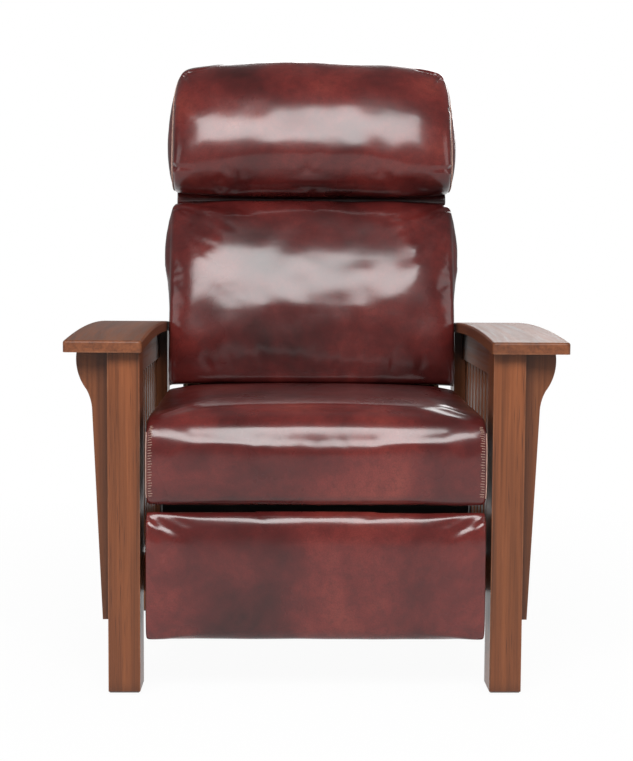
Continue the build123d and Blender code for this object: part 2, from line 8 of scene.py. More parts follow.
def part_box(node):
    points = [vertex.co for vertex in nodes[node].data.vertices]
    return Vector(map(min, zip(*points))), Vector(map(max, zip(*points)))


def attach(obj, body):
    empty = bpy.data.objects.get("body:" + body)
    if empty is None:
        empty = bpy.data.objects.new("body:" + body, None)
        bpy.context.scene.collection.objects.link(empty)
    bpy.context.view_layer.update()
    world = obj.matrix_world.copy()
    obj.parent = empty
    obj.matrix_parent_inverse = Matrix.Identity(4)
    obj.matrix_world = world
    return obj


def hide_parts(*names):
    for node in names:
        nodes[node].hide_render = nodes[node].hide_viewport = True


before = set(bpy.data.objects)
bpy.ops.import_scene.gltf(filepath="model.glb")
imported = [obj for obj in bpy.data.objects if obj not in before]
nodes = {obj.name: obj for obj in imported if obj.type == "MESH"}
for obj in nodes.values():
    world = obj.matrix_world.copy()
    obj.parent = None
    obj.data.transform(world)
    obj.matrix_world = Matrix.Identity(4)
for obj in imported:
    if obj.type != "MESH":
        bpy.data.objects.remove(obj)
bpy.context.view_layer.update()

# Everything is in metres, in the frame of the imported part: X to the right of a viewer in front of the
# chair, Y towards the back, Z up. The chair was drawn from the front face of its front posts, which
# lies at POST_FRONT here.
POST_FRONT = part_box("front_post_left")[0].y
MM = 0.001


# Camera, at the photograph's viewing angle

SENSOR = 36.0
FOCAL_PIXELS, PICTURE_TALL = 1526.1, 761
CAMERA_PLACE = Vector((-0.05265, -2.5326 + POST_FRONT, 0.7378))
CAMERA_PITCH, CAMERA_YAW, CAMERA_ROLL = 4.61, 1.17, 0.35


def make_camera():
    data = bpy.data.cameras.new("view")
    data.sensor_fit = "AUTO"
    data.sensor_width = SENSOR
    data.lens = FOCAL_PIXELS / PICTURE_TALL * SENSOR
    camera = bpy.data.objects.new("view", data)
    bpy.context.scene.collection.objects.link(camera)
    pitch, yaw, roll = radians(CAMERA_PITCH), radians(CAMERA_YAW), radians(CAMERA_ROLL)
    ahead = Vector((sin(yaw) * cos(pitch), cos(yaw) * cos(pitch), -sin(pitch)))
    right = Vector((cos(yaw), -sin(yaw), 0))
    up = right.cross(ahead)
    turned_right = right * cos(roll) + up * sin(roll)
    turned_up = up * cos(roll) - right * sin(roll)
    camera.matrix_world = Matrix((
        (turned_right.x, turned_up.x, -ahead.x, CAMERA_PLACE.x),
        (turned_right.y, turned_up.y, -ahead.y, CAMERA_PLACE.y),
        (turned_right.z, turned_up.z, -ahead.z, CAMERA_PLACE.z),
        (0, 0, 0, 1)))
    bpy.context.scene.camera = camera


make_camera()


# Node helpers for materials

class Shader:
    """One material's node tree, with short calls for the nodes used here."""

    def __init__(self, name):
        self.material = bpy.data.materials.new(name)
        self.material.use_nodes = True
        self.tree = self.material.node_tree
        self.surface = self.tree.nodes["Principled BSDF"]
        self.place = self.add("ShaderNodeTexCoord").outputs["Object"]

    def add(self, kind, **values):
        node = self.tree.nodes.new(kind)
        for key, value in values.items():
            setattr(node, key, value)
        return node

    def join(self, value, socket):
        if isinstance(value, bpy.types.NodeSocket):
            self.tree.links.new(value, socket)
        else:
            socket.default_value = value

    def stretch(self, scale):
        node = self.add("ShaderNodeMapping")
        self.join(self.place, node.inputs["Vector"])
        node.inputs["Scale"].default_value = scale
        return node.outputs["Vector"]

    def noise(self, scale, detail=3.0, rough=0.5, source=None, warp=0.0):
        node = self.add("ShaderNodeTexNoise")
        self.join(source or self.place, node.inputs["Vector"])
        node.inputs["Scale"].default_value = scale
        node.inputs["Detail"].default_value = detail
        node.inputs["Roughness"].default_value = rough
        node.inputs["Distortion"].default_value = warp
        return node.outputs["Fac"]

    def cells(self, scale, feature="F1", source=None):
        node = self.add("ShaderNodeTexVoronoi", feature=feature)
        self.join(source or self.place, node.inputs["Vector"])
        node.inputs["Scale"].default_value = scale
        return node.outputs["Distance"]

    def ramp(self, value, *stops):
        node = self.add("ShaderNodeValToRGB")
        self.join(value, node.inputs["Fac"])
        ramp = node.color_ramp
        while len(ramp.elements) < len(stops):
            ramp.elements.new(0.5)
        for element, (place, colour) in zip(ramp.elements, stops):
            element.position = place
            if isinstance(colour, (int, float)):
                colour = (colour, colour, colour)
            element.color = (*colour, 1.0)
        return node.outputs["Color"]

    def mix(self, share, a, b):
        node = self.add("ShaderNodeMix", data_type="RGBA")
        self.join(share, node.inputs["Factor"])
        for value, socket in ((a, node.inputs["A"]), (b, node.inputs["B"])):
            self.join((*value, 1.0) if isinstance(value, tuple) else value, socket)
        return node.outputs["Result"]

    def math(self, operation, a, b=0.0):
        node = self.add("ShaderNodeMath", operation=operation)
        self.join(a, node.inputs[0])
        self.join(b, node.inputs[1])
        return node.outputs[0]

    def bump(self, height, depth, below=None, strength=1.0):
        node = self.add("ShaderNodeBump")
        node.inputs["Strength"].default_value = strength
        node.inputs["Distance"].default_value = depth
        self.join(height, node.inputs["Height"])
        if below is not None:
            self.join(below, node.inputs["Normal"])
        return node.outputs["Normal"]

    def finish(self, colour, roughness, normal, **constants):
        self.join(colour, self.surface.inputs["Base Color"])
        self.join(roughness, self.surface.inputs["Roughness"])
        self.join(normal, self.surface.inputs["Normal"])
        for key, value in constants.items():
            self.surface.inputs[key].default_value = value
        return self.material


def times(colour, light):
    return tuple(light * c for c in colour)


def toned(stops, light):
    """The stops of a colour ramp, lighter or darker."""
    return [(place, times(colour, light)) for place, colour in stops]


LEATHER_TONES = ((0.36, (0.022, 0.0034, 0.0032)), (0.47, (0.072, 0.0092, 0.0086)),
                 (0.56, (0.124, 0.0170, 0.0145)), (0.68, (0.190, 0.0335, 0.0245)))


def leather(name, depth=1.0):
    """Mottled oxblood leather: hand-rubbed dark patches over red-brown, fine pebbled grain and pores."""
    s = Shader(name)
    clouds = s.noise(3.2, 4.0, 0.55, warp=0.6)
    patches = s.noise(8.5, 5.0, 0.6, warp=0.3)
    mottle = s.math("ADD", s.math("MULTIPLY", clouds, 0.62), s.math("MULTIPLY", patches, 0.38))
    colour = s.ramp(mottle, *toned(LEATHER_TONES, depth))
    streaks = s.noise(60.0, 4.0, 0.65, warp=0.4)
    colour = s.mix(s.ramp(streaks, (0.42, 0.0), (0.66, 0.32)), colour, (0.045, 0.0095, 0.009))
    creases = s.cells(230.0, "DISTANCE_TO_EDGE")
    pebble = s.ramp(creases, (0.0, 0.0), (0.16, 1.0))
    colour = s.mix(s.ramp(creases, (0.0, 0.30), (0.09, 0.0)), colour, (0.022, 0.005, 0.005))
    folds = s.noise(24.0, 3.0, 0.5, warp=1.0)
    fine = s.noise(900.0, 2.0, 0.5)
    normal = s.bump(folds, 0.0020, strength=0.25)
    normal = s.bump(pebble, 0.00012, normal, strength=0.30)
    normal = s.bump(fine, 0.00004, normal, strength=0.25)
    gloss = s.ramp(s.noise(7.0, 4.0, 0.6), (0.35, 0.26), (0.65, 0.38))
    return s.finish(colour, gloss, normal,
                    **{"Specular IOR Level": 0.14, "Coat Weight": 0.78, "Coat Roughness": 0.18})


def thread(name, colour):
    """Twisted sewing thread: a fine diagonal twist with lighter fibres."""
    s = Shader(name)
    twist = s.noise(700.0, 2.0, 0.5, s.stretch((1.0, 1.0, 0.4)))
    shade = s.ramp(twist, (0.35, times(colour, 0.55)), (0.7, colour))
    return s.finish(shade, 0.62, s.bump(twist, 0.0002))


OAK_TONES = ((0.34, (0.084, 0.0255, 0.0080)), (0.46, (0.165, 0.0480, 0.0150)),
             (0.55, (0.228, 0.0680, 0.0215)), (0.68, (0.305, 0.1000, 0.0330)))
OAK_CLOUDS, OAK_WORN = (0.090, 0.030, 0.014), (0.36, 0.155, 0.075)
# The darker colour after the pores is painted shade, laid into the nooks between parts.
OAK_PORES, OAK_PAINTED_SHADE = (0.030, 0.0100, 0.0055), (0.030, 0.0110, 0.0065)


def oak(name, grain, light, rough=(0.30, 0.46)):
    """Stained quarter-sawn oak with its grain along one axis: bands, long streaks, pores and ray flecks."""
    s = Shader(name)
    axis = "xyz".index(grain)

    def along(share):
        return s.stretch(tuple(share if i == axis else 1.0 for i in range(3)))

    bands = s.noise(26.0, 4.0, 0.55, along(0.035), warp=0.9)
    streaks = s.noise(150.0, 5.0, 0.62, along(0.016), warp=0.3)
    broad = s.noise(5.0, 3.0, 0.5, along(0.25), warp=0.5)
    tone = s.math("ADD", s.math("MULTIPLY", bands, 0.5), s.math("MULTIPLY", streaks, 0.5))
    colour = s.ramp(tone, *toned(OAK_TONES, light))
    colour = s.mix(s.ramp(broad, (0.35, 0.38), (0.62, 0.0)), colour, times(OAK_CLOUDS, light))
    pores = s.cells(520.0, "F1", along(0.022))
    dashes = s.ramp(pores, (0.10, 1.0), (0.26, 0.0))
    clusters = s.ramp(s.noise(40.0, 2.0, 0.5, along(0.12)), (0.42, 0.0), (0.60, 0.85))
    patchy = s.math("MULTIPLY", dashes, clusters)
    colour = s.mix(patchy, colour, OAK_PORES)
    # Painted shade: the oak darkens where the AO node finds parts close by, under the arms and between
    # parts.
    shade_ao = s.add("ShaderNodeAmbientOcclusion", samples=6)
    shade_ao.inputs["Distance"].default_value = 0.03
    colour = s.mix(s.ramp(shade_ao.outputs["AO"], (0.35, 0.72), (0.92, 0.0)), colour, OAK_PAINTED_SHADE)
    edge = s.add("ShaderNodeAmbientOcclusion", samples=6, inside=True)
    edge.inputs["Distance"].default_value = 0.004
    along_edges = s.ramp(edge.outputs["AO"], (0.45, 0.55), (0.80, 0.0))
    worn = s.math("MULTIPLY", along_edges, s.ramp(s.noise(30.0, 3.0), (0.4, 0.2), (0.65, 1.0)))
    colour = s.mix(worn, colour, times(OAK_WORN, light))
    height = s.math("SUBTRACT", s.math("MULTIPLY", streaks, 0.6), s.math("MULTIPLY", patchy, 0.8))
    normal = s.bump(height, 0.00045, strength=0.5)
    gloss = s.ramp(streaks, (0.3, rough[0]), (0.7, rough[1]))
    return s.finish(colour, gloss, normal,
                    **{"Specular IOR Level": 0.34, "Coat Weight": 0.12, "Coat Roughness": 0.25})


def plain_wood(name, grain):
    """Unfinished inner frame timber."""
    s = Shader(name)
    axis = "xyz".index(grain)
    lengthwise = s.stretch(tuple(0.03 if i == axis else 1.0 for i in range(3)))
    rings = s.noise(38.0, 4.0, 0.55, lengthwise, warp=0.8)
    colour = s.ramp(rings, (0.35, (0.30, 0.19, 0.10)), (0.55, (0.45, 0.31, 0.18)), (0.7, (0.55, 0.41, 0.26)))
    knots = s.noise(4.0, 2.0, 0.5)
    colour = s.mix(s.ramp(knots, (0.5, 0.0), (0.75, 0.35)), colour, (0.24, 0.13, 0.06))
    return s.finish(colour, 0.72, s.bump(rings, 0.0005, strength=0.6))


def metal(name, colour, roughness, metallic):
    """Pressed steel with a brushed or painted skin, faint blotches and scratches."""
    s = Shader(name)
    blotch = s.noise(45.0, 4.0, 0.6)
    scratches = s.noise(400.0, 3.0, 0.6, s.stretch((1.0, 0.05, 1.0)))
    shade = s.ramp(blotch, (0.3, times(colour, 0.72)), (0.7, colour))
    rough = s.ramp(scratches, (0.3, roughness * 0.75), (0.7, min(1.0, roughness * 1.3)))
    return s.finish(shade, rough, s.bump(scratches, 0.00008, strength=0.5), Metallic=metallic)


def strap_fabric(name):
    """Dark woven fabric, of the webbing and of the dark sheet that stands in for the shade over the leg
    rest.
    """
    s = Shader(name)
    weft = s.add("ShaderNodeTexWave", wave_type="BANDS", bands_direction="X")
    s.join(s.place, weft.inputs["Vector"])
    weft.inputs["Scale"].default_value = 130.0
    warp = s.add("ShaderNodeTexWave", wave_type="BANDS", bands_direction="Y")
    s.join(s.place, warp.inputs["Vector"])
    warp.inputs["Scale"].default_value = 170.0
    weave = s.math("MULTIPLY", weft.outputs["Fac"], warp.outputs["Fac"])
    colour = s.ramp(weave, (0.1, (0.012, 0.011, 0.010)), (0.8, (0.06, 0.055, 0.05)))
    return s.finish(colour, 0.85, s.bump(weave, 0.0004))


def moulded(name, colour):
    """Moulded plastic with a fine grain and lighter scuffs."""
    s = Shader(name)
    scuffs = s.noise(120.0, 4.0, 0.6)
    shade = s.ramp(scuffs, (0.4, colour), (0.75, tuple(min(1.0, 1.6 * c) for c in colour)))
    return s.finish(shade, s.ramp(scuffs, (0.3, 0.45), (0.7, 0.65)), s.bump(s.noise(1500.0, 2.0), 0.00006))


LEATHER = leather("oxblood_leather")
SHELL_LEATHER = leather("oxblood_leather_outside", 0.85)
# The seam thread is a real thread, and its pale pink is also a painted highlight along the seam edges.
SEAM_THREAD_AND_HIGHLIGHT = thread("seam_thread_and_highlight", (0.50, 0.30, 0.24))
STITCH_THREAD = thread("stitch_thread", (0.42, 0.26, 0.20))
OAK = {axis: oak(f"stained_oak_{axis}", axis, 0.90) for axis in "xyz"}
ARM_OAK = oak("stained_oak_arm", "y", 0.74, (0.42, 0.56))
# Painted shade: the front corbels get a darker copy of the oak for the shade under the arms.
CORBEL_OAK_SHADED = oak("stained_oak_corbel_shaded", "z", 0.62)
INNER = {axis: plain_wood(f"inner_timber_{axis}", axis) for axis in "xyz"}
ZINC = metal("zinc_steel", (0.55, 0.55, 0.56), 0.35, 1.0)
BLACK = metal("black_steel", (0.030, 0.030, 0.032), 0.45, 0.0)
STRAP = strap_fabric("webbing_weave")
# A dark sheet for the painted shade in the gap between the seat and the leg rest.
SHADE_LINING = strap_fabric("black_painted_shade_sheet")
NYLON = moulded("glide_nylon", (0.09, 0.07, 0.055))


def paint(obj, material):
    obj.data.materials.clear()
    obj.data.materials.append(material)


WOOD_GRAIN = {"arm": "y", "front_post": "z", "rear_post": "z", "top_rail": "y", "bottom_rail": "y",
              "slats": "z", "front_corbel": "z", "rear_corbel": "z"}
# The arms have a tone of their own. The front corbels' darker oak is painted shade.
OWN_STAIN_AND_SHADE = {"arm": ARM_OAK, "front_corbel": CORBEL_OAK_SHADED}
for stem, grain in WOOD_GRAIN.items():
    for side in ("left", "right"):
        paint(nodes[f"{stem}_{side}"], OWN_STAIN_AND_SHADE.get(stem, OAK[grain]))
for name in ("front_cross_rail", "rear_cross_rail"):
    paint(nodes[name], OAK["x"])
for name, grain in {"seat_front_rail": "x", "seat_rear_rail": "x", "seat_side_rail_left": "y",
                    "seat_side_rail_right": "y", "back_stile_left": "z", "back_stile_right": "z",
                    "back_bottom_rail": "x", "back_middle_rail": "x", "back_top_rail": "x",
                    "leg_rest_board": "x"}.items():
    paint(nodes[name], INNER[grain])
for name in ("plate_screws", "base_bolts", "swing_shaft"):
    paint(nodes[name], ZINC)
for stem in ("front_swing_link", "rear_swing_link", "seat_plate", "back_bracket", "leg_main_link",
             "leg_crank", "leg_outer_link", "leg_bracket", "base_rail"):
    for side in ("left", "right"):
        paint(nodes[f"{stem}_{side}"], BLACK)
for name in ("seat_webbing", "back_webbing"):
    paint(nodes[name], STRAP)
paint(nodes["glides"], NYLON)


EASED_EDGE = 0.0016


def soften(name):
    """Rounds the edges of a rigid CAD node for the eye."""
    edge = nodes[name].modifiers.new("edge", "BEVEL")
    edge.width = EASED_EDGE
    edge.segments = 2
    edge.limit_method = "ANGLE"
    edge.angle_limit = radians(50)


# The arms have rounded edges of their own
for stem in WOOD_GRAIN:
    for side in ("left", "right"):
        if stem != "arm":
            soften(f"{stem}_{side}")


# Soft parts

BACK_LEAN = radians(14)
BACK_FOOT = (575.0, 474.0)


def at(x, y, z):
    """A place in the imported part, from millimetres measured from the front face of the front posts."""
    return Vector((x * MM, y * MM + POST_FRONT, z * MM))


def back_at(x, y, z):
    """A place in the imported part, from millimetres in the upright back, which leans about its foot."""
    return at(x, BACK_FOOT[0] + y * cos(BACK_LEAN) + z * sin(BACK_LEAN),
              BACK_FOOT[1] - y * sin(BACK_LEAN) + z * cos(BACK_LEAN))


def local_back(p):
    """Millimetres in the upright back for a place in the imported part."""
    y, z = (p.y - POST_FRONT) / MM - BACK_FOOT[0], p.z / MM - BACK_FOOT[1]
    return (p.x / MM, y * cos(BACK_LEAN) - z * sin(BACK_LEAN), y * sin(BACK_LEAN) + z * cos(BACK_LEAN))


def closed_curve(corners, steps):
    """Smooth closed curve near the corners: (y, z) points, with steps to each corner."""
    count = len(corners)
    curve = []
    for i in range(count):
        p = [Vector(corners[(i + k) % count]) for k in (-1, 0, 1, 2)]
        for k in range(steps):
            t = k / steps
            weights = ((1 - t) ** 3 / 6, (3 * t ** 3 - 6 * t ** 2 + 4) / 6,
                       (-3 * t ** 3 + 3 * t ** 2 + 3 * t + 1) / 6, t ** 3 / 6)
            curve.append(sum((q * w for q, w in zip(p, weights)), Vector((0, 0))))
    return curve


def blended(a, b, share):
    return [(p[0] + (q[0] - p[0]) * share, p[1] + (q[1] - p[1]) * share) for p, q in zip(a, b)]


def tree_of(points):
    tree = KDTree(len(points))
    for i, p in enumerate(points):
        tree.insert(p, i)
    tree.balance()
    return tree


def new_object(name, points, faces, material):
    mesh = bpy.data.meshes.new(name)
    mesh.from_pydata([tuple(p) for p in points], [], faces)
    mesh.update()
    obj = bpy.data.objects.new(name, mesh)
    bpy.context.scene.collection.objects.link(obj)
    if material:
        mesh.materials.append(material)
    mesh.polygons.foreach_set("use_smooth", [True] * len(mesh.polygons))
    return obj


def lofted(name, rings, material):
    """Closed skin over rings of equally many points, with a fan cap at each end."""
    count = len(rings[0])
    points = [p for ring in rings for p in ring]
    faces = []
    for i in range(len(rings) - 1):
        for j in range(count):
            a, b = i * count + j, i * count + (j + 1) % count
            faces.append((a, b, b + count, a + count))
    for ring, first in ((rings[0], 0), (rings[-1], (len(rings) - 1) * count)):
        points.append(sum(ring, Vector()) / count)
        hub = len(points) - 1
        for j in range(count):
            a, b = first + j, first + (j + 1) % count
            faces.append((b, a, hub) if first == 0 else (a, b, hub))
    return new_object(name, points, faces, material)


def applied(obj):
    """Makes the modified mesh the object's own."""
    shape = obj.evaluated_get(bpy.context.evaluated_depsgraph_get())
    mesh = bpy.data.meshes.new_from_object(shape)
    obj.modifiers.clear()
    obj.data = mesh
    return obj


def remeshed(obj, size):
    mod = obj.modifiers.new("remesh", "REMESH")
    mod.mode = "VOXEL"
    mod.voxel_size = size
    return applied(obj)


def relaxed(obj, rounds):
    mod = obj.modifiers.new("relax", "SMOOTH")
    mod.factor = 0.5
    mod.iterations = rounds
    return applied(obj)


SIM_STEPS = 20
SIM_PRESSURE, SIM_GROWTH = 2.2, 0.003


def inflated(obj, held, cap):
    """Blows a closed skin up as cloth. held(point) says how firmly a point stays, and cap(point) how far
    it may move."""
    start = [v.co.copy() for v in obj.data.vertices]
    group = obj.vertex_groups.new(name="held")
    for i, p in enumerate(start):
        share = held(p)
        if share > 0.01:
            group.add([i], share, "REPLACE")
    settings = obj.modifiers.new("cloth", "CLOTH").settings
    settings.quality = 5
    settings.mass = 0.35
    settings.use_pressure = True
    settings.uniform_pressure_force = SIM_PRESSURE
    settings.tension_stiffness = 18
    settings.compression_stiffness = 14
    settings.shear_stiffness = 8
    settings.bending_stiffness = 1.2
    settings.shrink_min = -SIM_GROWTH
    settings.effector_weights.gravity = 0
    settings.vertex_group_mass = "held"
    scene = bpy.context.scene
    for step in range(1, SIM_STEPS + 1):
        scene.frame_set(step)
    applied(obj)
    for vertex, p in zip(obj.data.vertices, start):
        move = vertex.co - p
        limit = cap(p)
        if move.length > limit:
            vertex.co = p + move * (limit / move.length)
    scene.frame_set(1)
    return obj


def finer(obj):
    mod = obj.modifiers.new("finer", "SUBSURF")
    mod.levels = 1
    mod.render_levels = 1
    applied(obj)
    obj.data.polygons.foreach_set("use_smooth", [True] * len(obj.data.polygons))
    return obj


def slackened(obj, amount, firm):
    """Gives stretched leather its broad, shallow unevenness. firm(point) is 0 where it lies as it is."""
    normals = [v.normal.copy() for v in obj.data.vertices]
    for vertex, normal in zip(obj.data.vertices, normals):
        p = vertex.co
        broad = noise.noise(Vector((p.x * 6.5, p.y * 7.0, p.z * 9.5)))
        small = noise.noise(p * 19.0 + Vector((3, 5, 7)))
        vertex.co = p + normal * (amount * (broad + 0.45 * small) * firm(p))
    return obj


FOLD_LEAD, FOLD_REACH = 0.15, 2.4


def creased(obj, lines):
    """Presses soft folds into a skin. Each line is (start, end, depth, width), deepest at its start. The
    fold runs between the nearest places on the skin, with a raised edge on both sides of it."""
    normals = [v.normal.copy() for v in obj.data.vertices]
    lines = [(*on_skin(obj, (start, end), 0.0), depth, width) for start, end, depth, width in lines]
    for vertex, normal in zip(obj.data.vertices, normals):
        p = vertex.co.copy()
        for start, end, depth, width in lines:
            run = end - start
            share = (p - start).dot(run) / run.length_squared
            if not -FOLD_LEAD < share < 1.0:
                continue
            away = (p - start - run * share).length / width
            if away > FOLD_REACH:
                continue
            taper = (1 - max(share, 0.0)) * min(1.0, (share + FOLD_LEAD) / FOLD_LEAD)
            dip = (1 - away ** 2) * 2.718 ** (-away ** 2 * 0.9)
            vertex.co -= normal * (depth * taper * dip)
    return obj


SEAM_HOLDS, SEAM_LETS_GO = 0.003, 0.006
FULL_SWELL, FULL_SLACK = 0.045, 0.05


def leathery(name, rings, seams, limit, slack, voxel=0.0055, creases=(), flat=lambda p: False):
    """A stuffed leather piece: remeshed, blown up between its seams, smoothed, and then given its slack
    and its creases. limit is how far the stuffing may push the skin, slack how uneven it lies, and
    flat(point) is true where it's pressed against its neighbours or its frame."""
    obj = remeshed(lofted(name, rings, LEATHER), voxel)
    tree = tree_of([p for seam in seams for p in seam])

    def from_seam(p):
        return tree.find(p)[2]

    def held(p):
        return 1.0 if flat(p) else max(0.0, 1 - max(0.0, from_seam(p) - SEAM_HOLDS) / SEAM_LETS_GO)

    def cap(p):
        return limit * min(1.0, from_seam(p) / FULL_SWELL)

    inflated(obj, held, cap)
    relaxed(obj, 5)
    finer(obj)
    slackened(obj, slack, lambda p: 0.0 if flat(p) else min(1.0, from_seam(p) / FULL_SLACK))
    creased(obj, creases)
    paint(obj, LEATHER)
    return obj


def tube(name, path, radius, material, around=8):
    """Round cord along a path."""
    last = len(path) - 1
    points, faces = [], []
    side = None
    for i, p in enumerate(path):
        run = (path[min(i + 1, last)] - path[max(i - 1, 0)]).normalized()
        if side is None:
            side = run.orthogonal().normalized()
        side = (side - run * side.dot(run)).normalized()
        other = run.cross(side)
        for k in range(around):
            turn = 2 * pi * k / around
            points.append(p + (side * cos(turn) + other * sin(turn)) * radius)
    for i in range(last):
        for k in range(around):
            a, b = i * around + k, i * around + (k + 1) % around
            faces.append((a, b, b + around, a + around))
    faces.append(tuple(range(around - 1, -1, -1)))
    faces.append(tuple(range(last * around, (last + 1) * around)))
    return new_object(name, points, faces, material)


def on_skin(obj, points, lift):
    """The nearest places on a skin, a little above it."""
    shape = BVHTree.FromObject(obj, bpy.context.evaluated_depsgraph_get())
    places = []
    for p in points:
        spot, normal, _, _ = shape.find_nearest(p)
        places.append(spot + normal * lift)
    return places


def evened(path):
    for _ in range(3):
        inner = [(path[i - 1] + path[i] * 2 + path[i + 1]) / 4 for i in range(1, len(path) - 1)]
        path = [path[0], *inner, path[-1]]
    return path


# Head pillow, lumbar cushion, seat, leg rest and outside back

def rounded_fall(share, power, crown):
    """How far a section has turned into the side one: a shallow crown, then a roll at the seam."""
    return crown * share ** 2 + (1 - crown) * (1 - (1 - share ** power) ** (1 / power))


RING_STEPS, SEAM_STEPS, STATIONS = 4, 20, 18
END_SHARES = (0.22, 0.48, 0.72, 0.88, 0.96)


def across_rings(middle, side, half, dome_at, centre, place, power, crown):
    """Rings across a cushion from one end to the other: the middle section turns into the side one, and
    the ends close over their centre as domes of dome_at(y, z)."""
    def ring(x, section):
        return [place(x, y, z) for y, z in closed_curve(section, RING_STEPS)]

    def end_ring(sign, share):
        section = closed_curve(blended([centre] * len(side), side, share), RING_STEPS)
        return [place(sign * (half + dome_at(y, z) * (1 - share ** 2.2)), y, z) for y, z in section]

    rings = [end_ring(-1, share) for share in END_SHARES]
    for i in range(-STATIONS, STATIONS + 1):
        share = sin(i / STATIONS * pi / 2)
        rings.append(ring(share * half, blended(middle, side, rounded_fall(abs(share), power, crown))))
    return rings + [end_ring(1, share) for share in reversed(END_SHARES)]


def seam_loops(side, half, place):
    return [[place(x, y, z) for y, z in closed_curve(side, SEAM_STEPS)] for x in (-half, half)]


SEAM_LIFT = 0.0008


def seam_cord(name, obj, loop, keep, radius, body):
    """A sewn edge along the part of a seam loop that keep(point) names, lying on the skin."""
    flags = [keep(p) for p in loop]
    count = len(loop)
    first = next(i for i in range(count) if flags[i] and not flags[i - 1]) if not all(flags) else 0
    path = []
    for i in range(count):
        if not flags[(first + i) % count]:
            break
        path.append(loop[(first + i) % count])
    cord = tube(name, evened(on_skin(obj, path, SEAM_LIFT)), radius, SEAM_THREAD_AND_HIGHLIGHT)
    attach(cord, body)


# Sections as (y, z) points in millimetres: through a cushion's middle, and at its side seam. Those of the
# pillow and of the lumbar cushion are in the upright back.
PILLOW_MIDDLE = ((-4, 400), (-48, 387), (-92, 384), (-119, 400), (-135, 446), (-141, 500), (-141, 548),
                 (-132, 594), (-114, 634), (-88, 660), (-55, 672), (-24, 674), (-4, 666), (-3, 580),
                 (-3, 490))
PILLOW_SIDE = ((-6, 412), (-34, 403), (-66, 404), (-87, 420), (-92, 450), (-89, 486), (-82, 520), (-74, 556),
               (-64, 594), (-53, 626), (-38, 648), (-22, 656), (-6, 650), (-4, 560), (-4, 480))
PILLOW_HALF = 283.0
PILLOW_NARROWS = 570.0
PILLOW_TAPER = 0.0000060
LUMBAR_MIDDLE = ((-5, 14), (-38, 5), (-66, -5), (-87, -8), (-99, 14), (-108, 60), (-116, 112),
                 (-118, 165), (-114, 222), (-106, 278), (-94, 326), (-77, 364), (-54, 384), (-30, 389),
                 (-5, 387), (-3, 280), (-3, 130))
LUMBAR_SIDE = ((-6, 12), (-26, 0), (-46, -9), (-62, -10), (-72, 12), (-76, 60), (-78, 112), (-77, 170),
               (-73, 225), (-67, 280), (-60, 322), (-51, 352), (-36, 368), (-20, 372), (-6, 370),
               (-4, 280), (-4, 130))
LUMBAR_HALF = 286.0
SEAT_MIDDLE = ((36, 321), (12, 319.5), (-7, 321), (-15, 334), (-17, 372), (-17.5, 412), (-14.5, 444),
               (-3, 469), (24, 484), (66, 489), (150, 491), (260, 491), (370, 490), (470, 488),
               (514, 484), (536, 466), (537, 428), (530, 398), (495, 394.5), (400, 394.5), (250, 394.5),
               (120, 394.5), (48, 394.5), (38.5, 392), (38, 355))
SEAT_SIDE = ((34, 325), (14, 323), (0, 325), (-7, 337), (-9, 374), (-9, 410), (-6, 440), (6, 459),
             (28, 466), (66, 466), (150, 465), (260, 466), (370, 470), (462, 475), (506, 474), (526, 458),
             (529, 424), (522, 402), (490, 398), (400, 398), (250, 398), (120, 398), (48, 398),
             (39, 395), (37, 358))
SEAT_HALF = 286.0
SEAT_LIP = -14
PANEL_MIDDLE = ((27, 95), (8, 90), (-6, 92), (-12.5, 103), (-14.5, 150), (-15.5, 200), (-14.5, 248),
                (-11, 286), (-4, 308), (5, 318), (15, 312), (26, 299), (27.5, 250), (27.5, 180),
                (27.5, 130))
PANEL_SIDE = ((26, 97), (12, 93), (1, 95), (-4, 104), (-5, 150), (-5, 200), (-5, 246), (-3, 284), (1, 301),
              (8, 308), (16, 303), (24, 292), (26, 250), (26, 180), (26, 130))
PANEL_HALF = 286.0
NECK_SECTION = ((-3, 380), (-14, 376), (-24, 378), (-28, 386), (-28, 398), (-24, 406), (-14, 408), (-3, 404))
NECK_HALF = 276.0
BACK_SEAM_CORD, SEAT_SEAM_CORD = 0.0016, 0.0010


def beside_frame(p):
    """Whether a place is on the flat end of a cushion, beside a side frame."""
    return abs(p.x) > 0.2845


def above(z, low, high):
    """0 below low, 1 above high, and smooth between them."""
    share = min(1.0, max(0.0, (z - low) / (high - low)))
    return share * share * (3 - 2 * share)


def pillow_at(x, y, z):
    """A place in the pillow, which narrows towards its top corners."""
    rise = max(0.0, z - PILLOW_NARROWS)
    return back_at(x * (1 - PILLOW_TAPER * rise ** 2), y, z)


def make_pillow():
    rings = across_rings(PILLOW_MIDDLE, PILLOW_SIDE, PILLOW_HALF, lambda y, z: 14.0, (-44, 486), pillow_at,
                         power=4.6, crown=0.14)
    loops = seam_loops(PILLOW_SIDE, PILLOW_HALF, pillow_at)
    creases = []
    for side in (-1, 1):
        corner = back_at(side * 262, -78, 632)
        creases += [(corner, back_at(side * 212, -92, 656), 0.0110, 0.0052),
                    (corner, back_at(side * 238, -112, 592), 0.0070, 0.0060),
                    (back_at(side * 278, -96, 560), back_at(side * 244, -124, 540), 0.0030, 0.0060),
                    (back_at(side * 280, -104, 432), back_at(side * 236, -122, 424), 0.0045, 0.0065)]
    obj = leathery("head_pillow_leather", rings, loops, limit=0.006, slack=0.0028, creases=creases)
    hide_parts("head_pillow")
    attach(obj, "back")
    for label, loop in zip(("left", "right"), loops):
        seam_cord(f"head_pillow_seam_{label}", obj, loop,
                  lambda p: local_back(p)[1] < -10 or local_back(p)[2] > 640, BACK_SEAM_CORD, "back")


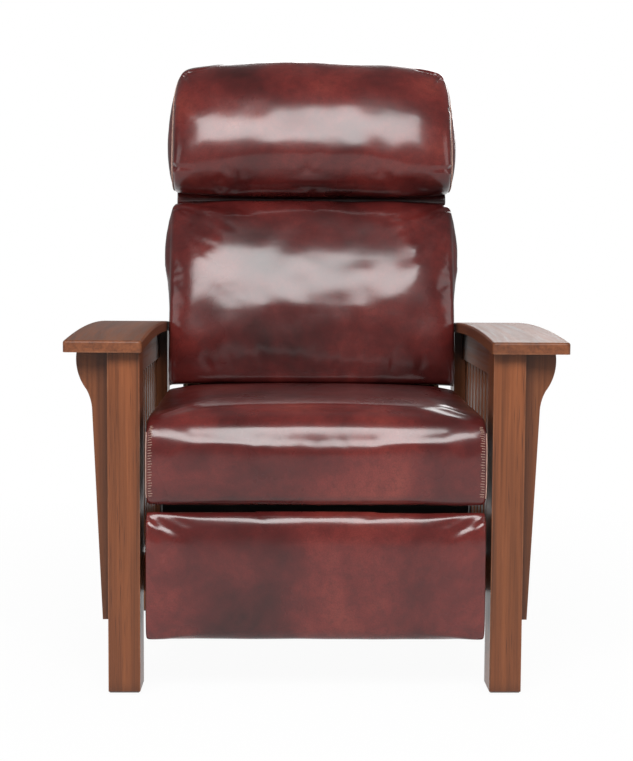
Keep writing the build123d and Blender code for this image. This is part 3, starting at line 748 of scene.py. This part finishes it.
def make_lumbar():
    rings = across_rings(LUMBAR_MIDDLE, LUMBAR_SIDE, LUMBAR_HALF,
                         lambda y, z: 1.6 + 12.0 * above(z, 178, 240), (-38, 262), back_at,
                         power=4.5, crown=0.30)
    loops = seam_loops(LUMBAR_SIDE, LUMBAR_HALF, back_at)
    creases = []
    for side in (-1, 1):
        top = back_at(side * 286, -56, 366)
        creases += [(top, back_at(side * 240, -92, 362), 0.0028, 0.0060),
                    (top, back_at(side * 248, -84, 338), 0.0022, 0.0055),
                    (back_at(side * 286, -64, 12), back_at(side * 236, -96, 22), 0.0025, 0.0070)]
    obj = leathery("lumbar_leather", rings, loops, limit=0.006, slack=0.0034, creases=creases,
                   flat=lambda p: (beside_frame(p) and local_back(p)[2] < 240) or local_back(p)[2] < 8)
    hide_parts("lumbar_cushion")
    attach(obj, "back")
    for label, loop in zip(("left", "right"), loops):
        seam_cord(f"lumbar_seam_{label}", obj, loop,
                  lambda p: local_back(p)[1] < -10 and local_back(p)[2] > 4, BACK_SEAM_CORD, "back")


def make_seat():
    rings = across_rings(SEAT_MIDDLE, SEAT_SIDE, SEAT_HALF, lambda y, z: 1.0, (260, 430), at,
                         power=3.0, crown=0.20)
    loops = seam_loops(SEAT_SIDE, SEAT_HALF, at)
    obj = leathery("seat_leather", rings, loops, voxel=0.006, limit=0.003, slack=0.0009,
                   flat=lambda p: beside_frame(p) or p.z < 0.400 and p.y > POST_FRONT + 0.02)
    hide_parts("seat_cushion")
    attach(obj, "seat")
    for label, loop in zip(("left", "right"), loops):
        seam_cord(f"seat_seam_{label}", obj, loop,
                  lambda p: p.z > 0.452 or p.y < POST_FRONT - 0.001 and p.z > 0.335, SEAT_SEAM_CORD, "seat")
    return obj


def make_panel():
    rings = across_rings(PANEL_MIDDLE, PANEL_SIDE, PANEL_HALF, lambda y, z: 1.0, (10, 190), at,
                         power=9.0, crown=0.30)
    loops = seam_loops(PANEL_SIDE, PANEL_HALF, at)
    creases = [(at(side * 287, -4, 300), at(side * 262, -12, 284), 0.0022, 0.0050) for side in (-1, 1)]
    obj = leathery("leg_rest_leather", rings, loops, voxel=0.005, limit=0.003, slack=0.0010, creases=creases,
                   flat=lambda p: beside_frame(p) or p.y > POST_FRONT + 0.018)
    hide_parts("leg_rest_pad")
    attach(obj, "leg_panel")


def make_neck():
    """The strip of leather between the pillow and the lumbar cushion."""
    rings = across_rings(NECK_SECTION, NECK_SECTION, NECK_HALF, lambda y, z: 2.0, (-14, 392), back_at,
                         power=6.0, crown=0.1)
    obj = lofted("neck_leather", rings, SHELL_LEATHER)
    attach(obj, "back")


SHELL_HALF_WIDE, SHELL_HALF_TALL, SHELL_CENTRE = 276, 398, 272
SHELL_REAR, SHELL_SWELL = 44, 6.0


def make_outside_back():
    """The outside back, with the swell of its stuffing to the rear."""
    obj = nodes["back_shell"].copy()
    obj.data = nodes["back_shell"].data.copy()
    obj.name = "outside_back_leather"
    bpy.context.scene.collection.objects.link(obj)
    obj.parent = None
    obj.matrix_world = Matrix()
    remeshed(obj, 0.005)
    relaxed(obj, 6)
    for vertex in obj.data.vertices:
        x, y, z = local_back(vertex.co)
        if y > SHELL_REAR:
            wide = min(1.0, abs(x) / SHELL_HALF_WIDE)
            tall = min(1.0, abs(z - SHELL_CENTRE) / SHELL_HALF_TALL)
            vertex.co = back_at(x, y + SHELL_SWELL * (1 - wide ** 4) * (1 - tall ** 4), z)
    relaxed(obj, 3)
    finer(obj)
    paint(obj, SHELL_LEATHER)
    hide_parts("back_shell")
    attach(obj, "back")


APRON_HALF, APRON_STATIONS = 261.0, 60
APRON_LEVELS = (320.0, 316.0, 310.0, 304.0, 298.0, 291.5)
APRON_TOP, APRON_TALL, APRON_THICK = 320.0, 28.5, 1.2
APRON_PLACE, APRON_WAVE, APRON_WAVE_RUN = 42.0, 1.1, 31.0


def make_apron():
    """Black cloth under the seat's front rail, which closes the gap over the leg rest: painted shade for
    that gap.
    """
    rings = []
    for i in range(APRON_STATIONS + 1):
        x = -APRON_HALF + 2 * APRON_HALF * i / APRON_STATIONS
        wave = APRON_WAVE * sin(x / APRON_WAVE_RUN)
        front = [(APRON_PLACE + wave * (APRON_TOP - z) / APRON_TALL, z) for z in APRON_LEVELS]
        rear = [at(x, y + APRON_THICK, z) for y, z in reversed(front)]
        rings.append([at(x, y, z) for y, z in front] + rear)
    obj = lofted("seat_apron", rings, SHADE_LINING)
    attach(obj, "seat")


STITCH_COUNT, STITCH_FOOT, STITCH_STEP = 29, 338, 4.6
STITCH_EDGE, STITCH_LONG, STITCH_SLANT = 284.6, 9.5, 1.2
STITCH_RADIUS, STITCH_LIFT, STITCH_DIVE = 0.0006, 0.00055, 0.0009


def make_whip_stitches(seat):
    """Rows of whip stitches over the front upright edges of the seat. The ends of each go into the skin."""
    shape = BVHTree.FromObject(seat, bpy.context.evaluated_depsgraph_get())
    for label, side in (("left", -1), ("right", 1)):
        points, faces = [], []
        for i in range(STITCH_COUNT):
            z = STITCH_FOOT + i * STITCH_STEP
            long = STITCH_LONG + 1.2 * sin(i * 1.7)
            path = []
            for share in (0.0, 0.25, 0.5, 0.75, 1.0):
                x = side * (STITCH_EDGE - long * share)
                spot, normal, _, _ = shape.find_nearest(at(x, SEAT_LIP, z + STITCH_SLANT * share))
                path.append(spot + normal * (STITCH_LIFT - STITCH_DIVE * abs(share - 0.5) * 2))
            stitch = tube("stitch", path, STITCH_RADIUS, None, around=6)
            base = len(points)
            points += [v.co.copy() for v in stitch.data.vertices]
            faces += [tuple(base + k for k in f.vertices) for f in stitch.data.polygons]
            bpy.data.objects.remove(stitch)
        row = new_object(f"seat_stitches_{label}", points, faces, STITCH_THREAD)
        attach(row, "seat")


make_pillow()
make_lumbar()
seat_skin = make_seat()
make_panel()
make_neck()
make_outside_back()
make_apron()
make_whip_stitches(seat_skin)


bpy.context.scene.view_settings.view_transform = "Standard"


# Stage

FLOOR_SIZE, FLOOR_LEVEL, FLOOR_FADE = 14.0, -0.0005, 1.9
ROOM_LIGHT = 0.20
LIT_SPOT = (0, 0, 0.75)


def lamp(name, place, size, power, height=None):
    """A rectangular lamp that faces the middle of the chair. It is square unless height is given."""
    data = bpy.data.lights.new(name, "AREA")
    data.shape = "RECTANGLE"
    data.size = size
    data.size_y = height or size
    data.energy = power
    obj = bpy.data.objects.new(name, data)
    bpy.context.scene.collection.objects.link(obj)
    obj.location = place
    obj.rotation_euler = (Vector(LIT_SPOT) - Vector(place)).to_track_quat("-Z", "Y").to_euler()


def floor_material():
    """Pale floor that the camera sees as white, but for the object's shadow, and plain white further out."""
    s = Shader("pale_floor")
    path = s.add("ShaderNodeLightPath")
    seen = s.math("MAXIMUM", path.outputs["Is Camera Ray"], path.outputs["Is Glossy Ray"])
    seen = s.math("MAXIMUM", seen, path.outputs["Is Transmission Ray"])
    away = s.add("ShaderNodeVectorMath", operation="LENGTH")
    s.join(s.place, away.inputs[0])
    plain = s.ramp(s.math("DIVIDE", away.outputs["Value"], FLOOR_FADE), (0.30, 0.95), (1.0, 1.0))
    s.surface.inputs["Base Color"].default_value = (0.80, 0.80, 0.80, 1)
    s.surface.inputs["Roughness"].default_value = 0.9
    s.surface.inputs["Specular IOR Level"].default_value = 0.1
    white = s.add("ShaderNodeEmission")
    white.inputs["Color"].default_value = (1, 1, 1, 1)
    white.inputs["Strength"].default_value = 1.0
    blend = s.add("ShaderNodeMixShader")
    s.join(s.math("MULTIPLY", seen, plain), blend.inputs["Fac"])
    s.tree.links.new(s.surface.outputs["BSDF"], blend.inputs[1])
    s.tree.links.new(white.outputs["Emission"], blend.inputs[2])
    s.tree.links.new(blend.outputs["Shader"], s.tree.nodes["Material Output"].inputs["Surface"])
    return s.material


def make_stage():
    square = ((-1, -1), (1, -1), (1, 1), (-1, 1))
    corners = [(x * FLOOR_SIZE, y * FLOOR_SIZE, FLOOR_LEVEL) for x, y in square]
    floor = new_object("floor", corners, [(0, 1, 2, 3)], floor_material())
    world = bpy.data.worlds.new("studio")
    bpy.context.scene.world = world
    world.use_nodes = True
    tree = world.node_tree
    background = tree.nodes["Background"]
    background.inputs["Color"].default_value = (1, 1, 1, 1)
    path = tree.nodes.new("ShaderNodeLightPath")
    seen = tree.nodes.new("ShaderNodeMath")
    seen.operation = "MAXIMUM"
    tree.links.new(path.outputs["Is Camera Ray"], seen.inputs[0])
    tree.links.new(path.outputs["Is Transmission Ray"], seen.inputs[1])
    level = tree.nodes.new("ShaderNodeMix")
    level.data_type = "FLOAT"
    tree.links.new(seen.outputs[0], level.inputs["Factor"])
    level.inputs["A"].default_value = ROOM_LIGHT
    level.inputs["B"].default_value = 1.0
    tree.links.new(level.outputs["Result"], background.inputs["Strength"])
    lamp("key", (-0.20, -3.2, 3.10), size=3.9, power=222, height=1.55)
    lamp("fill_left", (-3.0, -1.2, 1.4), size=1.4, power=11)
    lamp("fill_right", (3.0, -1.0, 1.5), size=1.4, power=11)
    lamp("rear", (0.6, 3.0, 2.2), size=2.0, power=40)


make_stage()
